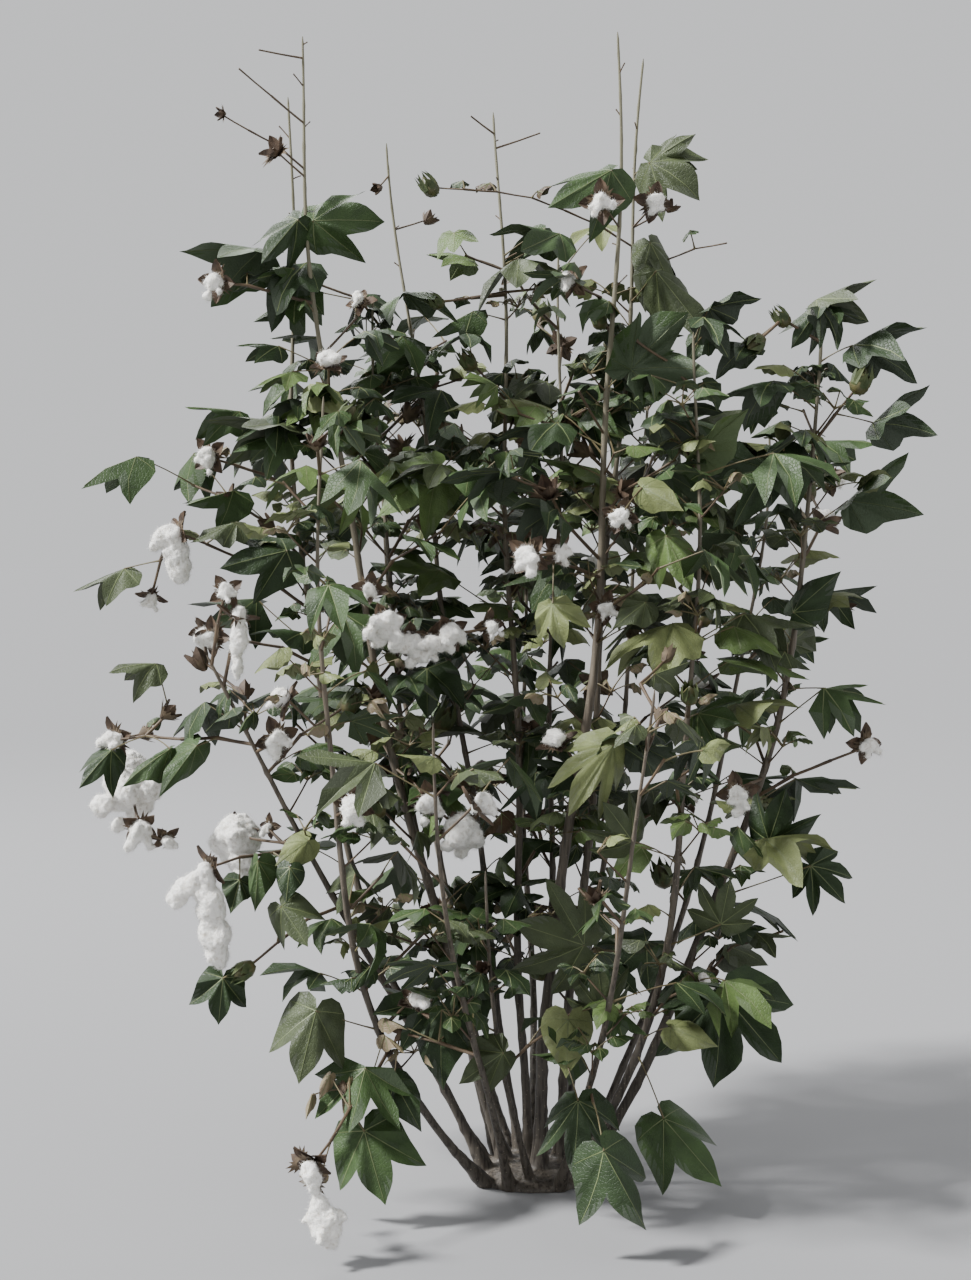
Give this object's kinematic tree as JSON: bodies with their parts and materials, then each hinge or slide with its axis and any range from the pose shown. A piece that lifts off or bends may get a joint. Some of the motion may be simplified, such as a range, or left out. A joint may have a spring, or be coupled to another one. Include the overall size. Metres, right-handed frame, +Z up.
{
  "type": "cotton plant",
  "caption": "Rooted, many-stemmed cotton plant late in its season: woody root crown, upright leaning stems, lobed leaves and open bolls with lint.",
  "frame": {"origin": "middle of the flat cut under the root crown, at ground level", "axes": "+Z up, +X to the right and +Y away from the viewer of the picture"},
  "size_m": [1.1111, 0.9108, 1.508],
  "materials": {
    "bark": "dull brown bark with lighter ridges and leaf scars",
    "foliage": "matt grey-green leaves with paler veins",
    "lint": "soft white cotton fibre",
    "husk": "dry brown boll walls and bracts"
  },
  "bodies": {
    "root": {"root_crown": "bark", "bough_far_left": "bark", "bough_left_front": "bark", "bough_left_tall": "bark", "bough_left_back": "bark", "bough_left_mid": "bark", "bough_left_inner": "bark", "bough_centre_left": "bark", "bough_centre_back": "bark", "bough_centre_tall": "bark", "bough_centre_right": "bark", "bough_right_inner": "bark", "bough_far_right": "bark", "bough_rear_left": "bark", "bough_rear_centre": "bark", "bough_rear_right": "bark", "bough_rear_far_right": "bark", "bough_front_left": "bark", "bough_front_short": "bark", "bough_front_right": "bark", "foliage_far_left_low": "foliage", "foliage_far_left_top": "foliage", "foliage_left_front_low": "foliage", "foliage_left_front_top": "foliage", "foliage_left_tall_low": "foliage", "foliage_left_tall_middle": "foliage", "foliage_left_tall_top": "foliage", "foliage_left_back_low": "foliage", "foliage_left_back_middle": "foliage", "foliage_left_back_top": "foliage", "foliage_left_mid_low": "foliage", "foliage_left_mid_top": "foliage", "foliage_left_inner_low": "foliage", "foliage_left_inner_top": "foliage", "foliage_centre_left_low": "foliage", "foliage_centre_left_top": "foliage", "foliage_centre_back_low": "foliage", "foliage_centre_back_top": "foliage", "foliage_centre_tall_low": "foliage", "foliage_centre_tall_middle": "foliage", "foliage_centre_tall_top": "foliage", "foliage_centre_right_low": "foliage", "foliage_centre_right_middle": "foliage", "foliage_centre_right_top": "foliage", "foliage_right_inner_low": "foliage", "foliage_right_inner_top": "foliage", "foliage_far_right_low": "foliage", "foliage_far_right_top": "foliage", "foliage_rear_left_low": "foliage", "foliage_rear_left_top": "foliage", "foliage_rear_centre_low": "foliage", "foliage_rear_centre_top": "foliage", "foliage_rear_right_low": "foliage", "foliage_rear_right_top": "foliage", "foliage_rear_far_right_low": "foliage", "foliage_rear_far_right_top": "foliage", "foliage_front_left_whole": "foliage", "foliage_front_short_whole": "foliage", "foliage_front_right_whole": "foliage"}
  },
  "joints": []
}
